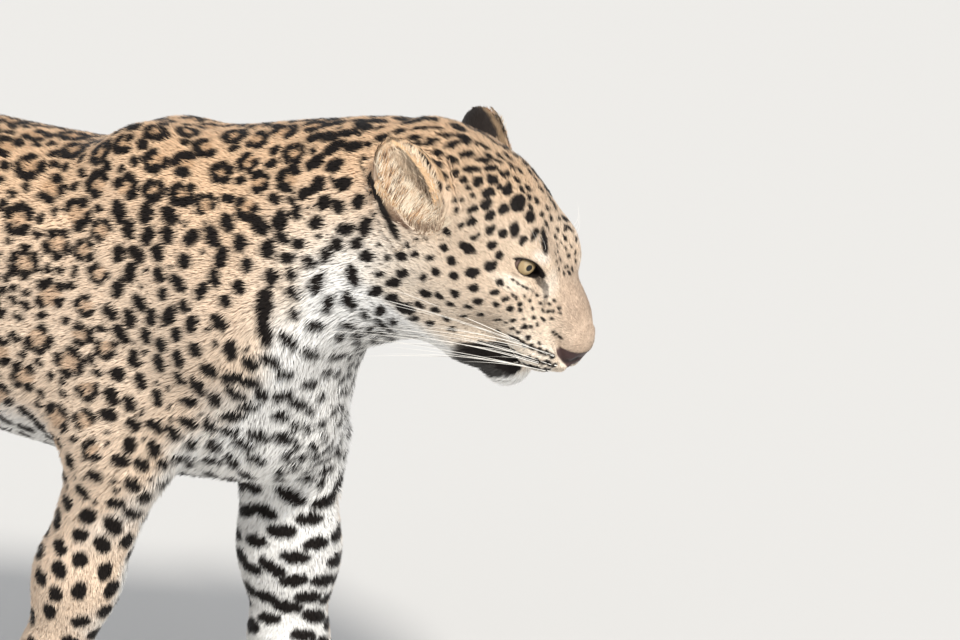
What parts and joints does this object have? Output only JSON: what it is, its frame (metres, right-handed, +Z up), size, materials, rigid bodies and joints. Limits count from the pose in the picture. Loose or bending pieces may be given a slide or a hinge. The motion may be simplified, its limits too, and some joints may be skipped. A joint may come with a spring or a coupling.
{
  "type": "leopard",
  "caption": "Life-size still model of a spotted leopard in mid walk, head lowered a little, tail hanging in a curve, standing on its four paws",
  "frame": {"origin": "middle of the bounding box, at floor level", "axes": "+X towards the head, along the longest extent; +Y to the animal's left; +Z up"},
  "size_m": [1.4694, 0.2604, 0.6688],
  "materials": {
    "coat": "short dense fur, sandy with dark rosettes, white below",
    "eye": "wet, khaki iris, dark pupil",
    "nose": "dark fine-grained skin, slightly moist"
  },
  "bodies": {
    "root": {"head": "coat", "neck": "coat", "chest": "coat", "loin": "coat", "rump": "coat", "ear_left": "coat", "ear_right": "coat", "eye_left": "eye", "eye_right": "eye", "nose": "nose", "foreleg_left": "coat", "foreleg_right": "coat", "forepaw_left": "coat", "forepaw_right": "coat", "hindleg_left": "coat", "hindleg_right": "coat", "hindpaw_left": "coat", "hindpaw_right": "coat", "tail_base": "coat", "tail_middle": "coat", "tail_tip": "coat"}
  },
  "joints": []
}
